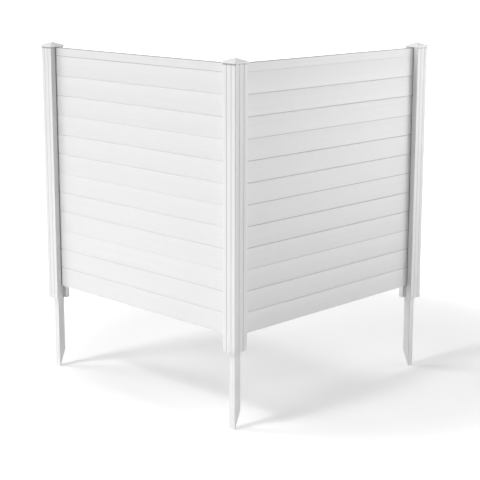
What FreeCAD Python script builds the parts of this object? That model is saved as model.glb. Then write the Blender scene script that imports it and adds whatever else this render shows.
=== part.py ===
import FreeCAD, Part
import math
import os

# Privacy fence corner of two panels: square fluted posts on ground stakes, with hollow
# tongue and groove boards let into the posts' slots. Millimetres, +Z up.
# The corner post stands at the -X -Y corner. The left panel runs from it along +Y and
# the right panel along +X. The origin is the middle of the footprint, at the stake tips.

# Layout
post_span = 1250.0
panel_gap_below = 66.0

# Board, a hollow tongue and groove extrusion that shows three equal faces
board_thickness = 19.0
board_cover = 287.0
faces_per_board = 3
boards_per_panel = 4
board_wall = 1.4
board_rib = 1.3
v_width = 5.2
v_depth = 3.0
joint_chamfer = 1.3
tongue_thickness = 13.0
tongue_height = 12.0
tongue_lead = 1.2
tongue_side_clearance = 0.3
tongue_top_clearance = 1.0
board_end_clearance = 3.15

# Top rail, grooved along both edges
rail_height = 40.0
rail_thickness = 20.0
rail_wall = 1.6
rail_recess_depth = 5.0
rail_recess_width = 13.4
rail_edge_chamfer = 0.8

# Post, one hollow extrusion with a square chamber in the middle and eight webs. Each slot's
# lips stand clear of the panel, and two guide ribs inside the slot hold it.
post_width = 76.2
post_wall = 2.2
post_corner_radius = 3.0
web_thickness = 1.6
chamber_wall = 1.8
slot_lip_gap = 3.2
guide_clearance = 0.3
guide_thickness = 1.6
guide_standoff = 5.0
flute_width = 5.2
flute_depth = 1.3

# Stake, a square tube with a chisel point
stake_width = 35.5
stake_wall = 3.2
stake_corner_radius = 2.0
stake_clearance = 0.4
stake_exposed = 359.0
stake_inserted = 300.0
chisel_length = 87.0
chisel_flat = 1.2

# Post cap, a low pyramid with a band and four lugs that plug into the post. The band stands
# clear of the post's end on a narrow seat, which leaves a shadow gap.
cap_overhang = 4.2
cap_seat = 1.8
cap_seat_width = 1.2
cap_band = 7.0
cap_rise = 16.0
cap_peak_width = 2.4
cap_wall = 2.5
cap_crease = 1.6
cap_corner_radius = 4.0
lug_depth = 12.0
lug_thickness = 2.2
lug_clearance = 0.3
lug_lead = 0.9

# Screw, one pan head size throughout
screw_radius = 2.1
screw_point = 5.0
screw_tip_radius = 0.4
screw_head_radius = 4.2
screw_head_height = 2.6
screw_head_side = 1.1
screw_crown_radius = 2.9
screw_hole_clearance = 0.1
screw_head_sides = 16
screw_shank_sides = 12
recess_width = 1.1
recess_length = 4.4
recess_depth = 1.3
screw_stagger = 6.5
stake_screw_height = 30.0
board_screw_share = 0.75

# One overrun serves every cut that has to pass a surface
overrun = 1.0

# Sizes that follow
face_height = board_cover / faces_per_board
panel_height = rail_height + boards_per_panel * board_cover
post_length = panel_height + panel_gap_below
slot_width = board_thickness + 2 * slot_lip_gap
groove_width = tongue_thickness + 2 * tongue_side_clearance
groove_depth = tongue_height + tongue_top_clearance

half_post = post_width / 2
half_slot = slot_width / 2
half_guide = rail_thickness / 2 + guide_clearance
cell_edge = half_post - post_wall
chamber_inner = stake_width / 2 + stake_clearance
chamber_outer = chamber_inner + chamber_wall
web_outer = half_slot + web_thickness
web_centre = half_slot + web_thickness / 2
board_insertion = half_post - chamber_outer - board_end_clearance
board_length = post_span - post_width + 2 * board_insertion
half_cap = half_post + cap_overhang
band_top = cap_seat + cap_band
cap_height = band_top + cap_rise

# Levels above the stake tips
post_bottom = stake_exposed
post_top = post_bottom + post_length
panel_bottom = post_bottom + panel_gap_below
rail_bottom = post_top - rail_height
stake_screw_level = post_bottom + stake_screw_height
board_screw_level = panel_bottom + board_screw_share * face_height
rail_screw_level = post_top - (rail_recess_depth + rail_height - groove_depth) / 2

# Plan places of the three posts
corner_x = -post_span / 2
corner_y = -post_span / 2
post_places = {
    "corner": (corner_x, corner_y),
    "left": (corner_x, corner_y + post_span),
    "right": (corner_x + post_span, corner_y),
}

# The four sides of a post, anticlockwise from +X, and those that hold a slot
sides = ("east", "north", "west", "south")
slotted_sides = {"corner": ("east", "north"), "left": ("south",), "right": ("west",)}

# The side that the slope of each stake's chisel rises to; the edge lies on the opposite side
chisel_rises = {"corner": "east", "left": "east", "right": "north"}

z_axis = FreeCAD.Vector(0, 0, 1)
origin = FreeCAD.Vector(0, 0, 0)


def point(x, y, z=0):
    return FreeCAD.Vector(x, y, z)


def face_of(points):
    """Flat face in the XY plane through the corners given."""
    ring = [point(*xy) for xy in points]
    return Part.Face(Part.makePolygon(ring + ring[:1]))


def rectangle(x0, y0, x1, y1):
    return face_of([(x0, y0), (x1, y0), (x1, y1), (x0, y1)])


def rounded_square(half, radius):
    """Square face in the XY plane, centred, with its four corners rounded."""
    flat = half - radius
    slant = half - radius + radius * math.sqrt(0.5)
    edges = []
    straight = Part.makeLine(point(half, -flat), point(half, flat))
    corner = Part.Arc(point(half, flat), point(slant, slant), point(flat, half)).toShape()
    for side in sides:
        edges += [turned(straight, side), turned(corner, side)]
    return Part.Face(Part.Wire(edges))


def turned(shape, side):
    """Copy of a shape made towards +X, turned about the Z axis to face a side."""
    copy = shape.copy()
    copy.rotate(origin, z_axis, 360 * sides.index(side) / len(sides))
    return copy


def moved(shape, x, y, z=0):
    copy = shape.copy()
    copy.translate(point(x, y, z))
    return copy


def single(shape):
    """The one solid of a result that may be wrapped in a compound."""
    solids = shape.Solids
    if len(solids) != 1:
        raise ValueError("expected one solid, found %d" % len(solids))
    return solids[0]


def stacked(levels, corners):
    """Flat-sided solid through regular polygons given as corner radius and height, lowest first.

    Each polygon has a side square to +X.
    """
    rings = []
    for radius, height in levels:
        ring = []
        for number in range(corners):
            angle = 2 * math.pi * (number + 0.5) / corners
            ring.append(point(radius * math.cos(angle), radius * math.sin(angle), height))
        rings.append(ring)
    outlines = [rings[0], rings[-1]]
    for low, high in zip(rings, rings[1:]):
        for number in range(corners):
            following = (number + 1) % corners
            outlines.append([low[number], low[following], high[following], high[number]])
    faces = [Part.Face(Part.makePolygon(outline + outline[:1])) for outline in outlines]
    solid = Part.makeSolid(Part.makeShell(faces))
    if solid.Volume < 0:
        solid.reverse()
    return solid


def save(name, shape):
    shape.exportStep("parts/" + name + ".step")


# Posts
def post_cells(slots):
    """Hollows of the post's section: chamber, four corner cells and four middle cells."""
    cells = [rectangle(-chamber_inner, -chamber_inner, chamber_inner, chamber_inner)]
    corner_cell = face_of([
        (web_outer, chamber_outer),
        (web_outer, cell_edge),
        (cell_edge, cell_edge),
        (cell_edge, web_outer),
        (chamber_outer, web_outer),
        (chamber_outer, chamber_outer),
    ])
    middle_cell = rectangle(chamber_outer, -half_slot, cell_edge, half_slot)
    for side in sides:
        cells.append(turned(slot_pocket() if side in slots else middle_cell, side))
        cells.append(turned(corner_cell, side))
    return cells


def slot_pocket():
    """Hollow that takes a panel's end, open to +X and narrowed by a guide rib on each side."""
    guide_inner = chamber_outer + guide_standoff
    guide_outer = guide_inner + guide_thickness
    upper_side = [
        (half_post + overrun, half_slot),
        (guide_outer, half_slot),
        (guide_outer, half_guide),
        (guide_inner, half_guide),
        (guide_inner, half_slot),
        (chamber_outer, half_slot),
    ]
    lower_side = [(x, -y) for x, y in reversed(upper_side)]
    return face_of(upper_side + lower_side)


def post_flutes(slots):
    """Round-bottomed flutes, two over the webs of each closed side."""
    radius = (flute_width ** 2 / 4 + flute_depth ** 2) / (2 * flute_depth)
    depth_centre = half_post - flute_depth + radius
    flutes = []
    for side in sides:
        if side in slots:
            continue
        for place in (-web_centre, web_centre):
            circle = Part.makeCircle(radius, point(depth_centre, place))
            flutes.append(turned(Part.Face(Part.Wire(circle)), side))
    return flutes


def make_post(slots):
    section = rounded_square(half_post, post_corner_radius)
    section = section.cut(post_flutes(slots) + post_cells(slots))
    return single(section.Faces[0].extrude(point(0, 0, post_length)))


# Stakes
def make_stake(rises):
    """Square tube, cut on a slope that rises to one side from a narrow flat at the other."""
    half = stake_width / 2
    section = rounded_square(half, stake_corner_radius)
    bore = half - stake_wall
    section = section.cut(rectangle(-bore, -bore, bore, bore))
    length = stake_exposed + stake_inserted
    tube = section.Faces[0].extrude(point(0, 0, length))
    start = -half + chisel_flat
    slope = chisel_length / (half - start)
    end = half + overrun
    wedge = Part.Face(Part.makePolygon([
        point(start - overrun, -end, -slope * overrun),
        point(end, -end, slope * (end - start)),
        point(end, -end, -slope * overrun),
        point(start - overrun, -end, -slope * overrun),
    ]))
    wedge = wedge.extrude(point(0, 2 * end, 0))
    return single(turned(tube.cut(wedge), rises))


# Boards and rails
def along_y(face, length):
    """Stand a section drawn in X and Y upright and run it along +Y, from Y zero."""
    face = face.copy()
    face.rotate(origin, point(1, 0, 0), 90)
    return single(face.extrude(point(0, length, 0)))


def mirrored_face(right_side):
    """Closed section from its right-hand edge, listed upwards."""
    left_side = [(-x, y) for x, y in reversed(right_side)]
    return face_of(right_side + left_side)


def board_outline():
    half = board_thickness / 2
    edge = [
        (groove_width / 2, groove_depth),
        (groove_width / 2, 0),
        (half - joint_chamfer, 0),
        (half, joint_chamfer),
    ]
    for number in range(1, faces_per_board):
        line = number * face_height
        edge.append((half, line - v_width / 2))
        edge.append((half - v_depth, line))
        edge.append((half, line + v_width / 2))
    edge += [
        (half, board_cover - joint_chamfer),
        (half - joint_chamfer, board_cover),
        (tongue_thickness / 2, board_cover),
        (tongue_thickness / 2, board_cover + tongue_height - tongue_lead),
        (tongue_thickness / 2 - tongue_lead, board_cover + tongue_height),
    ]
    return mirrored_face(edge)


def board_cell(low, high, v_below, v_above):
    """One hollow of the board; its corners draw in where a V groove lies beyond them."""
    outer = board_thickness / 2 - board_wall
    slope = v_width / 2 + (board_wall - board_rib) / 2
    edge = []
    if v_below:
        edge += [(outer - v_depth, low), (outer, low + slope)]
    else:
        edge += [(outer, low)]
    if v_above:
        edge += [(outer, high - slope), (outer - v_depth, high)]
    else:
        edge += [(outer, high)]
    return mirrored_face(edge)


def board_cells():
    """Two hollows behind each face, divided by ribs, and one inside the tongue."""
    cells = []
    for number in range(faces_per_board):
        foot = number * face_height
        middle = foot + face_height / 2
        head = foot + face_height
        low = groove_depth + board_wall if number == 0 else foot + board_rib / 2
        last = number == faces_per_board - 1
        high = board_cover - board_wall if last else head - board_rib / 2
        cells.append(board_cell(low, middle - board_rib / 2, number > 0, False))
        cells.append(board_cell(middle + board_rib / 2, high, False, not last))
    reach = tongue_thickness / 2 - board_wall
    cells.append(rectangle(-reach, board_cover, reach, board_cover + tongue_height - board_wall))
    return cells


def make_board():
    return along_y(board_outline().cut(board_cells()).Faces[0], board_length)


def make_rail():
    """Top rail: its lower groove sits over the top board's tongue."""
    half = rail_thickness / 2
    recess_floor = rail_height - rail_recess_depth
    outline = mirrored_face([
        (groove_width / 2, groove_depth),
        (groove_width / 2, 0),
        (half - joint_chamfer, 0),
        (half, joint_chamfer),
        (half, rail_height - rail_edge_chamfer),
        (half - rail_edge_chamfer, rail_height),
        (rail_recess_width / 2, rail_height),
        (rail_recess_width / 2, recess_floor),
    ])
    reach = half - rail_wall
    hollow = rectangle(-reach, groove_depth + rail_wall, reach, recess_floor - rail_wall)
    return along_y(outline.cut([hollow]).Faces[0], board_length)


# Caps
def stepped_pyramid(levels):
    """Solid through squares given as half width and height, from the lowest up."""
    diagonal = math.sqrt(2)
    return stacked([(half * diagonal, height) for half, height in levels], 4)


def cap_shell():
    """Seat, band and low pyramid over a hollow that is as wide as the inside of the post."""
    slope = cap_rise / half_cap
    shoulder = half_cap - cap_crease
    peak_half = cap_peak_width / 2
    shell = stepped_pyramid([
        (half_cap, cap_seat),
        (half_cap, band_top - cap_crease * slope),
        (shoulder, band_top + cap_crease * slope),
        (peak_half, cap_height - peak_half * slope),
    ])
    plan = rounded_square(half_cap, cap_corner_radius)
    shell = shell.common(plan.extrude(point(0, 0, cap_height)))
    half_seat = cell_edge + cap_seat_width
    seat = rounded_square(half_seat, half_seat - (half_post - post_corner_radius))
    shell = shell.fuse(seat.extrude(point(0, 0, cap_seat + cap_band / 2)))
    eaves = cap_height - cell_edge * slope - cap_wall
    hollow = stepped_pyramid([
        (cell_edge, 0),
        (cell_edge, eaves),
        (peak_half, cap_height - peak_half * slope - cap_wall),
    ])
    return shell.cut(hollow), eaves


def cap_lug(top):
    """Angle-shaped lug that follows the two outer walls of a corner cell."""
    outer = cell_edge - lug_clearance
    inner = outer - lug_thickness
    end = web_outer + lug_clearance
    angle = face_of([
        (end, outer),
        (outer, outer),
        (outer, end),
        (inner, end),
        (inner, inner),
        (end, inner),
    ])
    lug = moved(angle, 0, 0, -lug_depth).extrude(point(0, 0, lug_depth + top))
    block = 2 * half_post
    for across in (False, True):
        nose = Part.Face(Part.makePolygon([
            point(outer - lug_lead, -overrun, -lug_depth),
            point(outer + overrun, -overrun, -lug_depth),
            point(outer + overrun, -overrun, -lug_depth + lug_lead + overrun),
            point(outer - lug_lead, -overrun, -lug_depth),
        ]))
        nose = nose.extrude(point(0, block, 0))
        if across:
            nose = nose.mirror(origin, point(1, -1, 0))
        lug = lug.cut(nose)
    return lug


def make_cap():
    shell, eaves = cap_shell()
    lug = cap_lug(eaves + cap_wall / 2)
    lugs = [turned(lug, side) for side in sides]
    return single(shell.fuse(lugs))


# Screws
def make_screw(length):
    """Pan head screw with its seat at the origin, pointing along -X."""
    head = stacked([
        (screw_head_radius, 0),
        (screw_head_radius, screw_head_side),
        (screw_crown_radius, screw_head_height),
    ], screw_head_sides)
    shank = stacked([
        (screw_tip_radius, -length),
        (screw_radius, screw_point - length),
        (screw_radius, 0),
    ], screw_shank_sides)
    screw = head.fuse(shank)
    for across in ((recess_width, recess_length), (recess_length, recess_width)):
        slot = Part.makeBox(*across, recess_depth + overrun)
        slot.translate(point(-across[0] / 2, -across[1] / 2, screw_head_height - recess_depth))
        screw = screw.cut(slot)
    screw.rotate(origin, point(0, 1, 0), 90)
    return single(screw)


def screw_hole(length):
    """Round cutter a little wider than the shank, as long as the screw."""
    radius = screw_radius + screw_hole_clearance
    start = point(overrun, 0)
    return Part.makeCylinder(radius, length + overrun, start, point(-1, 0, 0))


def screw_places():
    """Each screw as its post, what it holds, the side its head faces, its length and its seat."""
    places = []
    for post in post_places:
        post_x, post_y = post_places[post]
        seat = chamber_outer if post == "corner" else half_post
        faces = "north" if post == "right" else "east"
        seat_x = post_x + (0 if faces == "north" else seat)
        seat_y = post_y + (seat if faces == "north" else 0)
        length = seat - (stake_width / 2 - stake_wall) + screw_point
        places.append((post, "stake", faces, length, (seat_x, seat_y, stake_screw_level)))
        for slot in slotted_sides[post]:
            places += panel_screw_places(post, slot)
    return places


def panel_screw_places(post, slot):
    """Two screws through the middle of a panel's inserted end, driven from the post's inner side."""
    post_x, post_y = post_places[post]
    along = half_post - board_insertion / 2
    if slot in ("south", "west"):
        along = -along
    if slot in ("north", "south"):
        panel, faces, drop = "left", "east", 0
        seat_x, seat_y = post_x + half_post, post_y + along
    else:
        panel, faces, drop = "right", "north", screw_stagger
        seat_x, seat_y = post_x + along, post_y + half_post
    found = []
    for piece, level in (("board_1", board_screw_level), ("top_rail", rail_screw_level)):
        wall = rail_thickness / 2 - rail_wall if piece == "top_rail" else board_thickness / 2 - board_wall
        length = half_post - wall + screw_point
        found.append((post, panel + "_" + piece, faces, length, (seat_x, seat_y, level - drop)))
    return found


def drilled(shape, screws, passes):
    """The shape with a hole for each screw that passes through it."""
    for post, held, faces, length, seat in screws:
        if passes(post, held):
            shape = shape.cut(moved(turned(screw_hole(length), faces), *seat))
    return single(shape)


def save_posts(screws):
    for name, place in post_places.items():
        post = moved(make_post(slotted_sides[name]), *place, post_bottom)
        save(name + "_post", drilled(post, screws, lambda post, held: post == name))
        stake = moved(make_stake(chisel_rises[name]), *place)
        save(name + "_stake", drilled(stake, screws, lambda post, held: (post, held) == (name, "stake")))
        save(name + "_cap", moved(make_cap(), *place, post_top))


def save_panels(screws):
    levels = {"top_rail": rail_bottom}
    for number in range(boards_per_panel):
        levels["board_%d" % (number + 1)] = panel_bottom + number * board_cover
    start = half_post - board_insertion
    pieces = {"left": (corner_x, corner_y + start), "right": (corner_x + start, corner_y)}
    board = make_board()
    rail = make_rail()
    for panel, plan in pieces.items():
        for piece, level in levels.items():
            node = panel + "_" + piece
            solid = rail if piece == "top_rail" else board
            solid = turned(solid, "east" if panel == "left" else "south")
            solid = moved(solid, *plan, level)
            save(node, drilled(solid, screws, lambda post, held: held == node))


def save_screws(screws):
    groups = {"stake_screws": [], "panel_screws": []}
    for post, held, faces, length, seat in screws:
        node = "stake_screws" if held == "stake" else "panel_screws"
        groups[node].append(moved(turned(make_screw(length), faces), *seat))
    for node, group in groups.items():
        save(node, Part.makeCompound(group))


os.makedirs("parts", exist_ok=True)
all_screws = screw_places()
save_posts(all_screws)
save_panels(all_screws)
save_screws(all_screws)
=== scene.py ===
import math

import bpy
from mathutils import Matrix, Vector


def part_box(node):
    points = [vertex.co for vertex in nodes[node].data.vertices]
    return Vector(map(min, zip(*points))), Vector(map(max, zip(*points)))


# White vinyl corner fence on a pale studio floor. Metres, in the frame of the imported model.
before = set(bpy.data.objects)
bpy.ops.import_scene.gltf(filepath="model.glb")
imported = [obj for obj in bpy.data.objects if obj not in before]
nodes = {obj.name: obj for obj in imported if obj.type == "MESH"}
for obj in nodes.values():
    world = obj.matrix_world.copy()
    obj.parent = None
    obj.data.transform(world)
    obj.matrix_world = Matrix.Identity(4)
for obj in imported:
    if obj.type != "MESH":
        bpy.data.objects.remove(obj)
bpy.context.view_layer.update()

# Directions, the ways that the extruded pieces run, and the ways that the panels face
along_x = (1, 0, 0)
along_y = (0, 1, 0)
upward = (0, 0, 1)
runs = {"left": along_y, "right": along_x, "upright": upward}
facings = {"left": along_x, "right": along_y}

# Grooves divide what shows of each board into this many faces
faces_per_board = 3

# Camera: its place is measured from the corner post's axis at the height of the line under the top rails,
# and its angles are in radians
camera_lens_mm = 96.62
camera_sensor_mm = 36.0
camera_shift_share = -0.06
camera_aside = 0.0210
camera_back = 5.3995
camera_rise = 0.5237
camera_heading_off = 0.00753
camera_heading = math.radians(45) + camera_heading_off
camera_tilt = 0.20367
camera_roll = 0.00185
camera_near = 0.05
camera_far = 200.0

# Floor and surround. The floor is seen lifted towards white, a little near the fence and fully far off.
plain_white = (1.0, 1.0, 1.0, 1.0)
floor_half_width = 40.0
floor_colour = (0.92, 0.92, 0.92, 1.0)
floor_lift_near = 0.246
floor_lift_far = 1.0
floor_lift_middle = (0.5, -0.1, 0.0)
floor_lift_starts = 1.0
floor_lift_full = 2.4
surround_strength = 0.05
seen_strength = 1.0

# Distant lamps, by where they stand on the sky in degrees (azimuth anticlockwise from +X)
distant_lamps = {
    "high_key": {"azimuth": 168, "elevation": 58, "strength": 0.50, "softness": 8},
    "low_key": {"azimuth": 165, "elevation": 30, "strength": 0.97, "softness": 24},
    "low_side_light": {"azimuth": 120, "elevation": 10, "strength": 0.86, "softness": 24},
    "high_side_light": {"azimuth": 120, "elevation": 45, "strength": 0.68, "softness": 24},
    "low_fill": {"azimuth": 315, "elevation": 12, "strength": 1.10, "softness": 40},
    "back_fill": {"azimuth": 45, "elevation": 25, "strength": 0.28, "softness": 60},
}

# Softboxes: where they stand, what they point at, how wide they are, how many degrees wide they shine, and
# their power in watts
softboxes = {
    "low_softbox": {
        "place": (2.6, -1.8, 0.8), "aim": (0, -0.3, 0.9),
        "width": 1.5, "spread": 180, "power": 10.9,
    },
    "high_softbox": {
        "place": (1.0, -3.1, 3.8), "aim": (0, -0.3, 0.9),
        "width": 1.5, "spread": 180, "power": 19.5,
    },
    "left_softbox": {
        "place": (-2.6, 1.2, 0.5), "aim": (-0.6, 0, 0.6),
        "width": 1.0, "spread": 90, "power": 1.7,
    },
    "right_softbox": {
        "place": (1.9, -2.2, 1.8), "aim": (0.1, -0.6, 1.4),
        "width": 1.0, "spread": 50, "power": 1.1,
    },
}

# White vinyl
post_white = (0.865, 0.865, 0.865)
panel_white = (0.83, 0.83, 0.83)
moulded_white = (0.94, 0.94, 0.94)
vinyl_ior = 1.53
vinyl_specular = 0.3
extruded_roughness = 0.50
moulded_roughness = 0.44
stake_roughness = 0.55

# Noise patterns run from 0 to 1. A detail is how many finer layers a pattern has.
pattern_middle = 0.5
usual_detail = 2.0

# Marks of the extrusion die: sizes across the run, and how much of the run is drawn out of the pattern
die_line_grain = 0.0011
die_line_detail = 3.0
die_line_depth = 0.00006
die_band_grain = 0.009
die_band_tone = 0.05
die_drawn_share = 0.985
wave_grain = 0.16
wave_detail = 1.0
wave_depth = 0.0004
wave_drawn_share = 0.75

# Saw marks on cut ends and chisel faces: they run crosswise on upright pieces, and up on level ones
saw_line_grain = 0.0007
saw_line_depth = 0.00003
saw_drawn_share = 0.97
saw_crosswise = Vector((1, 1, 0)).normalized()
saw_tone = 0.03
saw_roughness = 0.16
cut_facing_share = 0.24
cut_facing_fade = 0.1

# Film of handling and dust, and on the rails' tops dust and painted shade
smudge_grain = 0.07
smudge_detail = 4.0
speckle_grain = 0.006
speckle_detail = 3.0
film_tone = 0.05
film_roughness = 0.14
dust_grain = 0.0016
dust_detail = 4.0
dust_tone = 0.02
rail_top_dust_and_shade_tone = 0.30
dust_roughness = 0.12
dust_facing_share = 0.55

# Painted shade on the panels, in grooves and joints, along the rails' edges and at the ends in the slots:
# how deep or far it reaches, and how much darker it makes the vinyl. Grooves and joints have an amount at
# the panel's foot, one at mid height and one at its top.
groove_depth = 0.003
groove_tones = {"left": (0.17, 0.06, 0.06), "right": (0.22, 0.36, 0.18)}
joint_reach = 0.0018
joint_tones = {"left": (0.12, 0.06, 0.20), "right": (0.10, 0.54, 0.20)}
rail_joint_tones = {"left": 0.60, "right": 0.05}
rail_edge_depth = 0.0013
rail_lower_edge_tones = {"left": 0.60, "right": 0.08}
rail_arris_reach = 0.0036
rail_arris_tones = {"left": 0.52, "right": 0.45}
end_shade_reach = 0.002
end_tones = {"left": 0.58, "right": 0.20}

# Painted shade on posts and caps: in the flutes, in the gap below the caps' bands, and as a painted shadow
# of the caps on the posts' heads. It goes by the inner sides, which face the fence's middle, and the outer
# sides, and by whether they face along X or Y. The flutes' shade fades out from just below the flutes, so
# that the slots stay unshaded.
flute_depth = 0.0012
just_below_flutes = 0.0014
flute_tones = {"Inner X": 0.16, "Outer X": 0.20, "Inner Y": 0.16, "Outer Y": 0.18}
cap_gap = 0.0018
cap_gap_edge = 0.0004
cap_gap_tones = {"Inner X": 0.02, "Outer X": 0.50, "Inner Y": 0.45, "Outer Y": 0.30}
below_cap_reach = 0.007
below_cap_fade = 0.003
below_cap_tones = {"Inner X": 0.02, "Outer X": 0.42, "Inner Y": 0.30, "Outer Y": 0.14}

# The fence's middle lies in front of an inner side's face, and behind an outer side's, by more than the side
# turn. A side faces fully along X from the facing share up, and fully along Y at a share of 0.
side_turn = 0.1
side_facing_share = 0.3

# The caps' sloping faces along Y carry painted shade, a little darker than those along X. A face starts to
# count as sloping at the first share of facing up, and counts fully from the second.
facet_tone = 0.10
facet_slope_shares = (0.2, 0.8)

# Painted light and shade: each face's tone leans from its lower to its upper edge, by these swings at the
# panel's foot and top
face_swings = {"left": (0.01, 0.06), "right": (0.08, -0.06)}

# Ghosts of the ribs behind the faces, tones of the boards' batches, and rubbed edges
rib_ghost_width = 0.004
rib_ghost_depth = 0.00002
batch_tone = 0.006
arris_width = 0.0035
arris_tone = 0.006
arris_polish = 0.06

# Skin of the moulded caps and of the paint on the screw heads
skin_grain = 0.0009
skin_depth = 0.00004
flow_grain = 0.03
flow_tone = 0.03
skin_detail = 1.0

# Screws
screw_paint = (0.84, 0.84, 0.83)
screw_steel = (0.52, 0.52, 0.53)
screw_head_height = 0.0026
paint_roughness = 0.34
steel_roughness = 0.28


# Places read from the frame
def middle(node):
    """Middle of a node's box at rest."""
    low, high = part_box(node)
    return (low + high) / 2


def width(node):
    """Width along X of a node's box at rest."""
    low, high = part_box(node)
    return (high - low).x


def panel_levels(panel):
    """Level of a panel's foot, the height that a board covers, and the height of all boards together."""
    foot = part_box(panel + "_board_1")[0].z
    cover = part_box(panel + "_board_2")[0].z - foot
    panel_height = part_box(panel + "_top_rail")[0].z - foot
    return foot, cover, panel_height


# Shader node helpers
def new_group(name, inputs, outputs):
    """Empty node group with named sockets, with its input sockets and output sockets to link."""
    tree = bpy.data.node_groups.new(name, "ShaderNodeTree")
    for label, kind in inputs:
        tree.interface.new_socket(label, in_out="INPUT", socket_type="NodeSocket" + kind)
    for label, kind in outputs:
        tree.interface.new_socket(label, in_out="OUTPUT", socket_type="NodeSocket" + kind)
    return tree, tree.nodes.new("NodeGroupInput").outputs, tree.nodes.new("NodeGroupOutput").inputs


def floats(*labels):
    """Names and kinds of plain number sockets for a group."""
    return [(label, "Float") for label in labels]


def feed(tree, target, value):
    """Link a socket into an input, or set the input to a plain value."""
    if isinstance(value, bpy.types.NodeSocket):
        tree.links.new(value, target)
    else:
        target.default_value = value


def add(tree, kind, settings=None, **values):
    """New node of a kind, with its settings and its inputs' values or links by label."""
    node = tree.nodes.new("ShaderNode" + kind)
    for name, value in (settings or {}).items():
        setattr(node, name, value)
    for label, value in values.items():
        feed(tree, node.inputs[label.replace("_", " ")], value)
    return node


def calc(tree, operation, *values):
    """Result of a math node on sockets or numbers."""
    node = add(tree, "Math", {"operation": operation})
    for target, value in zip(node.inputs, values):
        feed(tree, target, value)
    return node.outputs["Value"]


def total(tree, *values):
    result = values[0]
    for value in values[1:]:
        result = calc(tree, "ADD", result, value)
    return result


def product(tree, *values):
    result = values[0]
    for value in values[1:]:
        result = calc(tree, "MULTIPLY", result, value)
    return result


def minus(tree, first, second):
    return calc(tree, "SUBTRACT", first, second)


def apart(tree, first, second):
    """Difference of two values, whichever is larger."""
    return calc(tree, "ABSOLUTE", minus(tree, first, second))


def vector_calc(tree, operation, first, second):
    """Outputs of a vector math node on two vectors."""
    node = add(tree, "VectorMath", {"operation": operation})
    feed(tree, node.inputs[0], first)
    feed(tree, node.inputs[1], second)
    return node.outputs


def dot(tree, first, second):
    return vector_calc(tree, "DOT_PRODUCT", first, second)["Value"]


def scaled(tree, vector, amount):
    node = add(tree, "VectorMath", {"operation": "SCALE"}, Scale=amount)
    feed(tree, node.inputs[0], vector)
    return node.outputs["Vector"]


def spread(tree, value, low, high, to_low=0.0, to_high=1.0):
    """Smooth step of a value from one range to another."""
    node = add(tree, "MapRange", {"interpolation_type": "SMOOTHSTEP"})
    for target, given in zip(node.inputs, (value, low, high, to_low, to_high)):
        feed(tree, target, given)
    return node.outputs["Result"]


def near(tree, distance, reach):
    """Mask that falls from 1 at an edge to 0 at a reach from it."""
    return spread(tree, distance, 0.0, reach, 1.0, 0.0)


def around_one(tree, pattern, swing):
    """A pattern from 0 to 1 as a factor that swings evenly about 1."""
    return calc(tree, "MULTIPLY_ADD", minus(tree, pattern, pattern_middle), swing, 1.0)


def darker(tree, mask, amount):
    """Factor that falls from 1 by an amount where a mask is 1."""
    return minus(tree, 1.0, calc(tree, "MULTIPLY", mask, amount))


def mixed(tree, share, first, second):
    """Colour between two, by a share of the second."""
    node = add(tree, "Mix", {"data_type": "RGBA"})
    feed(tree, node.inputs["Factor"], share)
    for label, colour in (("A", first), ("B", second)):
        socket = [end for end in node.inputs if end.name == label and end.type == "RGBA"][0]
        feed(tree, socket, (*colour, 1.0))
    return [end for end in node.outputs if end.type == "RGBA"][0]


def noise(tree, place, grain, detail=usual_detail):
    """Noise from 0 to 1 with grains of a size in metres."""
    node = add(tree, "TexNoise", Vector=place, Scale=1 / grain, Detail=detail)
    return node.outputs["Fac"]


# Measures of a point on the surface
def object_place(tree):
    return add(tree, "TexCoord").outputs["Object"]


def surface_way(tree):
    """The way that the surface faces."""
    return add(tree, "TexCoord").outputs["Normal"]


def facing(tree, way):
    """How squarely the surface faces along a direction, from 0 to 1 either way round."""
    return calc(tree, "ABSOLUTE", dot(tree, surface_way(tree), way))


def rising(tree):
    """How squarely the surface faces up, below 0 where it faces down."""
    return dot(tree, surface_way(tree), upward)


def x_and_y(tree):
    node = add(tree, "SeparateXYZ", Vector=object_place(tree))
    return node.outputs["X"], node.outputs["Y"]


def height(tree):
    """Height of a point above the floor while its piece is at rest."""
    return add(tree, "SeparateXYZ", Vector=object_place(tree)).outputs["Z"]


def drawn_out(tree, run, share):
    """Object's coordinates with a share of their length along a run taken out."""
    place = object_place(tree)
    lengthwise = calc(tree, "MULTIPLY", dot(tree, place, run), share)
    return vector_calc(tree, "SUBTRACT", place, scaled(tree, run, lengthwise))["Vector"]


# Effects that several finishes share
def make_die_lines():
    """Fine lines, broader bands and slow waves that a die leaves along the run of an extruded piece."""
    tree, given, result = new_group("die_lines", [("Run", "Vector")], floats("Height", "Tone"))
    across = drawn_out(tree, given["Run"], die_drawn_share)
    lines = noise(tree, across, die_line_grain, die_line_detail)
    bands = noise(tree, across, die_band_grain)
    waves = noise(tree, drawn_out(tree, given["Run"], wave_drawn_share), wave_grain, wave_detail)
    raised = total(tree, product(tree, lines, die_line_depth), product(tree, waves, wave_depth))
    feed(tree, result["Height"], raised)
    feed(tree, result["Tone"], around_one(tree, bands, die_band_tone))
    return tree


def make_saw_cut():
    """Saw marks where a surface faces along the piece's run, as on cut ends and chisel faces."""
    inputs = [("Run", "Vector"), ("Blade", "Vector")]
    tree, given, result = new_group("saw_cut", inputs, floats("Height", "Tone", "Roughness"))
    cut_full_share = cut_facing_share + cut_facing_fade
    cut = spread(tree, facing(tree, given["Run"]), cut_facing_share, cut_full_share)
    marks = noise(tree, drawn_out(tree, given["Blade"], saw_drawn_share), saw_line_grain)
    feed(tree, result["Height"], product(tree, marks, cut, saw_line_depth))
    feed(tree, result["Tone"], darker(tree, cut, saw_tone))
    feed(tree, result["Roughness"], product(tree, cut, saw_roughness))
    return tree


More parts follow.
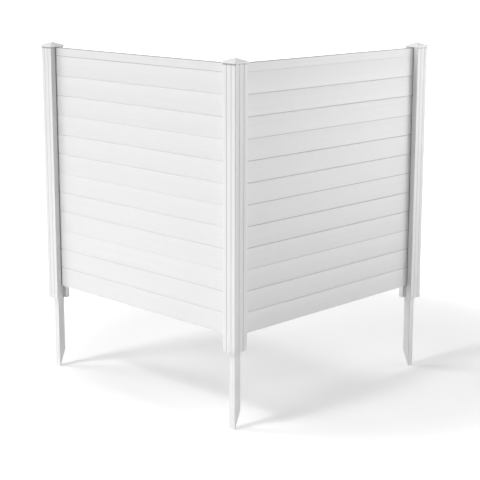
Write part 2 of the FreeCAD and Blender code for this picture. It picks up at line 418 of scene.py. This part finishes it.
def make_handling_film():
    """Faint smudges and speckles that vary the gloss and, less, the tone."""
    tree, given, result = new_group("handling_film", [], floats("Tone", "Roughness"))
    place = object_place(tree)
    smudges = noise(tree, place, smudge_grain, smudge_detail)
    speckles = noise(tree, place, speckle_grain, speckle_detail)
    mean = product(tree, total(tree, smudges, speckles), 1 / 2)
    feed(tree, result["Tone"], around_one(tree, mean, film_tone))
    feed(tree, result["Roughness"], product(tree, minus(tree, mean, pattern_middle), film_roughness))
    return tree


def make_dust_and_top_shade():
    """Dust on surfaces that face up; with a large amount, as on the rails' tops, dust and painted shade."""
    tree, given, result = new_group("dust_and_top_shade", floats("Amount"), floats("Tone", "Roughness"))
    lying = spread(tree, rising(tree), dust_facing_share, 1.0)
    grains = product(tree, lying, noise(tree, object_place(tree), dust_grain, dust_detail))
    feed(tree, result["Tone"], darker(tree, grains, given["Amount"]))
    feed(tree, result["Roughness"], product(tree, grains, dust_roughness))
    return tree


def make_seam_shade():
    """Painted shade that starts at a depth of 0 and is full at the bottom of a groove, flute, gap or edge.
    """
    tree, given, result = new_group("seam_shade", floats("Depth", "Bottom", "Amount"), floats("Tone"))
    deep = spread(tree, given["Depth"], 0.0, given["Bottom"])
    feed(tree, result["Tone"], darker(tree, deep, given["Amount"]))
    return tree


def make_side_amount():
    """Amount of painted shade by the way that a side of a post or cap faces, and whether it is an inner or
    outer side.
    """
    inputs = floats("Inner X", "Outer X", "Inner Y", "Outer Y")
    tree, given, result = new_group("side_amount", inputs, floats("Amount"))
    outward = dot(tree, surface_way(tree), object_place(tree))
    amount_x = spread(tree, outward, -side_turn, side_turn, given["Inner X"], given["Outer X"])
    amount_y = spread(tree, outward, -side_turn, side_turn, given["Inner Y"], given["Outer Y"])
    amount = spread(tree, facing(tree, along_x), 0.0, side_facing_share, amount_y, amount_x)
    feed(tree, result["Amount"], amount)
    return tree


def make_rubbed_arris():
    """Edges rubbed a little brighter and smoother, by the distance from the edge."""
    tree, given, result = new_group("rubbed_arris", floats("Distance"), floats("Tone", "Roughness"))
    rubbed = near(tree, given["Distance"], arris_width)
    feed(tree, result["Tone"], calc(tree, "MULTIPLY_ADD", rubbed, arris_tone, 1.0))
    feed(tree, result["Roughness"], product(tree, rubbed, -arris_polish))
    return tree


def make_moulded_skin():
    """Fine orange-peel skin and faint flow marks of a moulded or painted piece."""
    tree, given, result = new_group("moulded_skin", [], floats("Height", "Tone"))
    place = object_place(tree)
    skin = noise(tree, place, skin_grain, skin_detail)
    flow = noise(tree, place, flow_grain, skin_detail)
    feed(tree, result["Height"], product(tree, skin, skin_depth))
    feed(tree, result["Tone"], around_one(tree, flow, flow_tone))
    return tree


effects = {
    "die_lines": make_die_lines(),
    "saw_cut": make_saw_cut(),
    "handling_film": make_handling_film(),
    "dust_and_top_shade": make_dust_and_top_shade(),
    "seam_shade": make_seam_shade(),
    "side_amount": make_side_amount(),
    "rubbed_arris": make_rubbed_arris(),
    "moulded_skin": make_moulded_skin(),
}


# Finishes
class Finish:
    """A material in the making: a plastic shader whose tone, roughness and height gather effects."""

    def __init__(self, name, colour, roughness):
        self.material = bpy.data.materials.new(name)
        self.material.use_nodes = True
        self.tree = self.material.node_tree
        self.tree.nodes.clear()
        self.shader = add(self.tree, "BsdfPrincipled", IOR=vinyl_ior, Specular_IOR_Level=vinyl_specular)
        out = self.tree.nodes.new("ShaderNodeOutputMaterial")
        self.tree.links.new(self.shader.outputs["BSDF"], out.inputs["Surface"])
        self.colour = colour
        self.tones = []
        self.roughnesses = [roughness]
        self.heights = []

    def effect(self, name, **values):
        """Place a shared effect, gather what it puts out, and return its outputs."""
        node = self.tree.nodes.new("ShaderNodeGroup")
        node.node_tree = effects[name]
        for label, value in values.items():
            feed(self.tree, node.inputs[label], value)
        gathering = {"Tone": self.tones, "Roughness": self.roughnesses, "Height": self.heights}
        for label, gathered in gathering.items():
            if label in node.outputs:
                gathered.append(node.outputs[label])
        return node.outputs

    def by_side(self, amounts):
        """Amount of painted shade that goes by the side of a post or cap."""
        return self.effect("side_amount", **amounts)["Amount"]

    def done(self):
        """Link everything gathered into the shader."""
        tint = scaled(self.tree, self.colour, product(self.tree, *self.tones))
        feed(self.tree, self.shader.inputs["Base Color"], tint)
        feed(self.tree, self.shader.inputs["Roughness"], total(self.tree, *self.roughnesses))
        bump = add(self.tree, "Bump", Distance=1.0, Height=total(self.tree, *self.heights))
        feed(self.tree, self.shader.inputs["Normal"], bump.outputs["Normal"])
        return self.material


def extruded(name, colour, run, roughness=extruded_roughness, dust_and_shade=dust_tone):
    """Finish with what every extruded piece shows."""
    finish = Finish(name, colour, roughness)
    finish.effect("die_lines", Run=run)
    finish.effect("saw_cut", Run=run, Blade=saw_crosswise if run == upward else upward)
    finish.effect("handling_film")
    finish.effect("dust_and_top_shade", Amount=dust_and_shade)
    return finish


def depth_into_panel(tree, panel, node):
    """How deep a point of a panel's piece lies below its flat faces."""
    across = Vector(facings[panel])
    off_middle = apart(tree, dot(tree, object_place(tree), across), across.dot(middle(node)))
    low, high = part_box(node)
    return minus(tree, across.dot(high - low) / 2, off_middle)


def shade_ends(finish, panel):
    """Paint shade on a panel's ends where they run into the posts' slots."""
    tree = finish.tree
    along = calc(tree, "ABSOLUTE", dot(tree, object_place(tree), runs[panel]))
    post_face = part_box("right_post")[0].x
    depth = minus(tree, along, post_face - end_shade_reach / 2)
    finish.effect("seam_shade", Depth=depth, Bottom=end_shade_reach, Amount=end_tones[panel])


def up_the_panel(tree, level, panel_height, amounts):
    """Amount that changes with the level, from a panel's foot through its middle to its top."""
    at_foot, at_middle, at_top = amounts
    half = panel_height / 2
    lower = spread(tree, level, 0.0, half, at_foot, at_middle)
    upper = spread(tree, level, half, panel_height, 0.0, at_top - at_middle)
    return total(tree, lower, upper)


def shade_grooves(finish, panel, level):
    """Paint shade into the grooves between the faces of a panel's boards."""
    tree = finish.tree
    _, _, panel_height = panel_levels(panel)
    depth = depth_into_panel(tree, panel, panel + "_board_1")
    amount = up_the_panel(tree, level, panel_height, groove_tones[panel])
    finish.effect("seam_shade", Depth=depth, Bottom=groove_depth, Amount=amount)


def shade_joints(finish, panel, level):
    """Paint shade into the joints between boards, and the one below the top rail."""
    tree = finish.tree
    _, cover, panel_height = panel_levels(panel)
    over_joint = calc(tree, "FLOORED_MODULO", level, cover)
    off_joint = calc(tree, "MINIMUM", over_joint, minus(tree, cover, over_joint))
    depth = minus(tree, joint_reach, off_joint)
    at_joints = up_the_panel(tree, level, panel_height, joint_tones[panel])
    at_rail = rail_joint_tones[panel]
    last_joint = panel_height - cover
    amount = spread(tree, level, last_joint, panel_height - joint_reach, at_joints, at_rail)
    finish.effect("seam_shade", Depth=depth, Bottom=joint_reach, Amount=amount)


def vary_faces(finish, panel, level):
    """Lean each face's tone as painted light and shade, let the rib behind it show as a ghost, and give each
    board a batch's tone.
    """
    tree = finish.tree
    _, cover, panel_height = panel_levels(panel)
    face = cover / faces_per_board
    over_groove = calc(tree, "FLOORED_MODULO", level, face)
    swing = spread(tree, level, 0.0, panel_height, *face_swings[panel])
    finish.tones.append(around_one(tree, calc(tree, "DIVIDE", over_groove, face), swing))
    ghost = near(tree, apart(tree, over_groove, face / 2), rib_ghost_width)
    finish.heights.append(product(tree, ghost, -rib_ghost_depth))
    board = calc(tree, "FLOOR", calc(tree, "DIVIDE", level, cover))
    batch = add(tree, "TexWhiteNoise", {"noise_dimensions": "1D"}, W=board)
    finish.tones.append(around_one(tree, batch.outputs["Value"], batch_tone))


def board_vinyl(panel):
    """Boards: extruded, with painted shade in grooves, joints and ends, and faces that differ a little,
    partly by painted light and shade.
    """
    finish = extruded(panel + "_board_vinyl", panel_white, runs[panel])
    foot, _, _ = panel_levels(panel)
    level = minus(finish.tree, height(finish.tree), foot)
    shade_grooves(finish, panel, level)
    shade_joints(finish, panel, level)
    shade_ends(finish, panel)
    vary_faces(finish, panel, level)
    return finish.done()


def rail_vinyl(panel):
    """Top rails: painted shade on the lower chamfers and upper arrises, dust and painted shade along the
    top.
    """
    finish = extruded(panel + "_rail_vinyl", panel_white, runs[panel], dust_and_shade=rail_top_dust_and_shade_tone)
    tree = finish.tree
    depth = depth_into_panel(tree, panel, panel + "_top_rail")
    level = height(tree)
    low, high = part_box(panel + "_top_rail")
    half_way = (low.z + high.z) / 2
    amount = spread(tree, level, low.z, half_way, rail_lower_edge_tones[panel], 0.0)
    finish.effect("seam_shade", Depth=depth, Bottom=rail_edge_depth, Amount=amount)
    half_reach = rail_arris_reach / 2
    near_face = spread(tree, depth, half_reach, rail_arris_reach, rail_arris_tones[panel], 0.0)
    near_top = minus(tree, level, high.z - rail_arris_reach)
    finish.effect("seam_shade", Depth=near_top, Bottom=half_reach, Amount=near_face)
    shade_ends(finish, panel)
    return finish.done()


def beside_post_axis(tree):
    """How far a point is, along X and along Y, from the axis of the post that it belongs to."""
    axis = middle("right_post").x
    return [apart(tree, calc(tree, "ABSOLUTE", way), axis) for way in x_and_y(tree)]


def square_tube(name, node, roughness):
    """Finish of a post or stake: extruded, and rubbed along its arrises."""
    finish = extruded(name, post_white, runs["upright"], roughness)
    tree = finish.tree
    smaller_way = calc(tree, "MINIMUM", *beside_post_axis(tree))
    finish.effect("rubbed_arris", Distance=minus(tree, width(node) / 2, smaller_way))
    return finish


def post_vinyl():
    """Posts: square tubes with painted shade in the flutes, and a painted shadow of the caps on the heads
    just below them.
    """
    finish = square_tube("post_vinyl", "right_post", extruded_roughness)
    tree = finish.tree
    larger_way = calc(tree, "MAXIMUM", *beside_post_axis(tree))
    depth = minus(tree, width("right_post") / 2, larger_way)
    in_flute = spread(tree, depth, just_below_flutes, just_below_flutes + flute_depth, 1.0, 0.0)
    amount = product(tree, finish.by_side(flute_tones), in_flute)
    finish.effect("seam_shade", Depth=depth, Bottom=flute_depth, Amount=amount)
    shade_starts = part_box("right_post")[1].z - below_cap_reach
    up_the_head = minus(tree, height(tree), shade_starts)
    amount = finish.by_side(below_cap_tones)
    finish.effect("seam_shade", Depth=up_the_head, Bottom=below_cap_fade, Amount=amount)
    return finish.done()


def stake_vinyl():
    """Stakes: square tubes, a little duller than the posts."""
    return square_tube("stake_vinyl", "right_stake", stake_roughness).done()


def cap_vinyl():
    """Moulded caps: orange-peel skin, ridges of the pyramid rubbed, painted shade in the gap below the band
    and on the sloping faces along Y.
    """
    finish = Finish("cap_vinyl", moulded_white, moulded_roughness)
    tree = finish.tree
    finish.effect("moulded_skin")
    finish.effect("handling_film")
    finish.effect("dust_and_top_shade", Amount=dust_tone)
    finish.effect("rubbed_arris", Distance=apart(tree, *beside_post_axis(tree)))
    gap_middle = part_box("right_post")[1].z + cap_gap / 2
    depth = minus(tree, cap_gap / 2 + cap_gap_edge, apart(tree, height(tree), gap_middle))
    finish.effect("seam_shade", Depth=depth, Bottom=cap_gap_edge, Amount=finish.by_side(cap_gap_tones))
    sloping = spread(tree, rising(tree), *facet_slope_shares)
    faces_y = spread(tree, facing(tree, along_y), 0.0, side_facing_share)
    finish.tones.append(darker(tree, product(tree, sloping, faces_y), facet_tone))
    return finish.done()


def screw_finish():
    """Screws: white paint on the heads, which stand on the posts' inner sides, and steel below them."""
    finish = Finish("painted_screw", screw_paint, paint_roughness)
    tree = finish.tree
    finish.effect("moulded_skin")
    half_head = screw_head_height / 2
    head_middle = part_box("corner_post")[1].x + half_head
    in_head = [calc(tree, "COMPARE", way, head_middle, half_head) for way in x_and_y(tree)]
    painted = calc(tree, "MAXIMUM", *in_head)
    bare = minus(tree, 1.0, painted)
    finish.roughnesses.append(product(tree, bare, steel_roughness - paint_roughness))
    feed(tree, finish.shader.inputs["Metallic"], bare)
    finish.colour = mixed(tree, painted, screw_steel, screw_paint)
    return finish.done()


def dress(material, start="", ending=""):
    """Give one material to the nodes whose names have a start and an ending, where these are given."""
    for name, piece in nodes.items():
        if name.startswith(start) and name.endswith(ending):
            slots = piece.data.materials
            slots.clear()
            slots.append(material)


def dress_fence():
    for panel in ("left", "right"):
        dress(board_vinyl(panel), start=panel + "_board")
        dress(rail_vinyl(panel), start=panel, ending="_top_rail")
    dress(post_vinyl(), ending="_post")
    dress(stake_vinyl(), ending="_stake")
    dress(cap_vinyl(), ending="_cap")
    dress(screw_finish(), ending="_screws")


# Floor and surround
def seen_directly(tree):
    """1 on rays from the camera and on those that gloss and glass send on."""
    path = add(tree, "LightPath").outputs
    seen = path["Is Camera Ray"]
    for other in ("Is Glossy Ray", "Is Transmission Ray"):
        seen = calc(tree, "MAXIMUM", seen, path[other])
    return seen


def floor_material():
    """Pale floor, seen lifted to white where nothing shades it and running out to white far off."""
    material = bpy.data.materials.new("studio_floor")
    material.use_nodes = True
    tree = material.node_tree
    tree.nodes.clear()
    out = tree.nodes.new("ShaderNodeOutputMaterial")
    matt = add(tree, "BsdfDiffuse", Color=floor_colour)
    away = vector_calc(tree, "DISTANCE", object_place(tree), floor_lift_middle)["Value"]
    lifts = (floor_lift_near, floor_lift_far)
    amount = spread(tree, away, floor_lift_starts, floor_lift_full, *lifts)
    lift = add(tree, "Emission", Color=plain_white, Strength=product(tree, seen_directly(tree), amount))
    both = tree.nodes.new("ShaderNodeAddShader")
    feed(tree, both.inputs[0], matt.outputs["BSDF"])
    feed(tree, both.inputs[1], lift.outputs["Emission"])
    feed(tree, out.inputs["Surface"], both.outputs["Shader"])
    return material


def make_floor():
    mesh = bpy.data.meshes.new("studio_floor")
    reach = floor_half_width
    corners = [(-reach, -reach, 0), (reach, -reach, 0), (reach, reach, 0), (-reach, reach, 0)]
    mesh.from_pydata(corners, [], [(0, 1, 2, 3)])
    mesh.materials.append(floor_material())
    floor = bpy.data.objects.new("studio_floor", mesh)
    bpy.context.scene.collection.objects.link(floor)


def make_surround():
    """Even white surround: faint light on the object, plain white to the camera and in reflections."""
    world = bpy.data.worlds.new("studio_surround")
    world.use_nodes = True
    tree = world.node_tree
    tree.nodes.clear()
    out = tree.nodes.new("ShaderNodeOutputWorld")
    soft = add(tree, "Background", Color=plain_white, Strength=surround_strength)
    white = add(tree, "Background", Color=plain_white, Strength=seen_strength)
    mix = tree.nodes.new("ShaderNodeMixShader")
    ends = (seen_directly(tree), soft.outputs["Background"], white.outputs["Background"])
    for target, value in zip(mix.inputs, ends):
        feed(tree, target, value)
    feed(tree, out.inputs["Surface"], mix.outputs["Shader"])
    bpy.context.scene.world = world


# Lamps
def direction(azimuth, elevation):
    """Unit vector towards a place on the sky, given in degrees."""
    turn = math.radians(azimuth)
    rise = math.radians(elevation)
    return Vector((math.cos(rise) * math.cos(turn), math.cos(rise) * math.sin(turn), math.sin(rise)))


def hang(name, lamp, away, place=(0, 0, 0)):
    """Put a lamp in the scene with its back turned to a direction."""
    holder = bpy.data.objects.new(name, lamp)
    holder.rotation_mode = "QUATERNION"
    holder.rotation_quaternion = away.to_track_quat("Z", "Y")
    holder.location = place
    bpy.context.scene.collection.objects.link(holder)


def make_distant_lamps():
    for name, given in distant_lamps.items():
        lamp = bpy.data.lights.new(name, "SUN")
        lamp.energy = given["strength"]
        lamp.angle = math.radians(given["softness"])
        hang(name, lamp, direction(given["azimuth"], given["elevation"]))


def make_softboxes():
    for name, given in softboxes.items():
        lamp = bpy.data.lights.new(name, "AREA")
        lamp.shape = "SQUARE"
        lamp.size = given["width"]
        lamp.spread = math.radians(given["spread"])
        lamp.energy = given["power"]
        place = Vector(given["place"])
        hang(name, lamp, place - Vector(given["aim"]), place)


# Camera
def make_lens():
    lens = bpy.data.cameras.new("camera")
    lens.lens = camera_lens_mm
    lens.sensor_width = camera_sensor_mm
    lens.shift_y = camera_shift_share
    lens.clip_start = camera_near
    lens.clip_end = camera_far
    return lens


def make_camera():
    """Camera outside the corner, as in the photograph."""
    ahead = Vector((math.sin(camera_heading), math.cos(camera_heading), 0))
    across = Vector((math.cos(camera_heading), -math.sin(camera_heading), 0))
    up = Vector(upward)
    target = middle("corner_post")
    target.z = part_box("left_top_rail")[0].z
    place = target + camera_aside * across - camera_back * ahead + camera_rise * up
    look = math.cos(camera_tilt) * ahead - math.sin(camera_tilt) * up
    level_up = math.sin(camera_tilt) * ahead + math.cos(camera_tilt) * up
    right = math.cos(camera_roll) * across + math.sin(camera_roll) * level_up
    top = math.cos(camera_roll) * level_up - math.sin(camera_roll) * across
    rotation = Matrix((right, top, -look)).transposed()
    camera = bpy.data.objects.new("camera", make_lens())
    camera.matrix_world = Matrix.Translation(place) @ rotation.to_4x4()
    bpy.context.scene.collection.objects.link(camera)
    bpy.context.scene.camera = camera


make_camera()
dress_fence()
make_floor()
make_surround()
make_distant_lamps()
make_softboxes()
bpy.context.scene.view_settings.view_transform = "Standard"
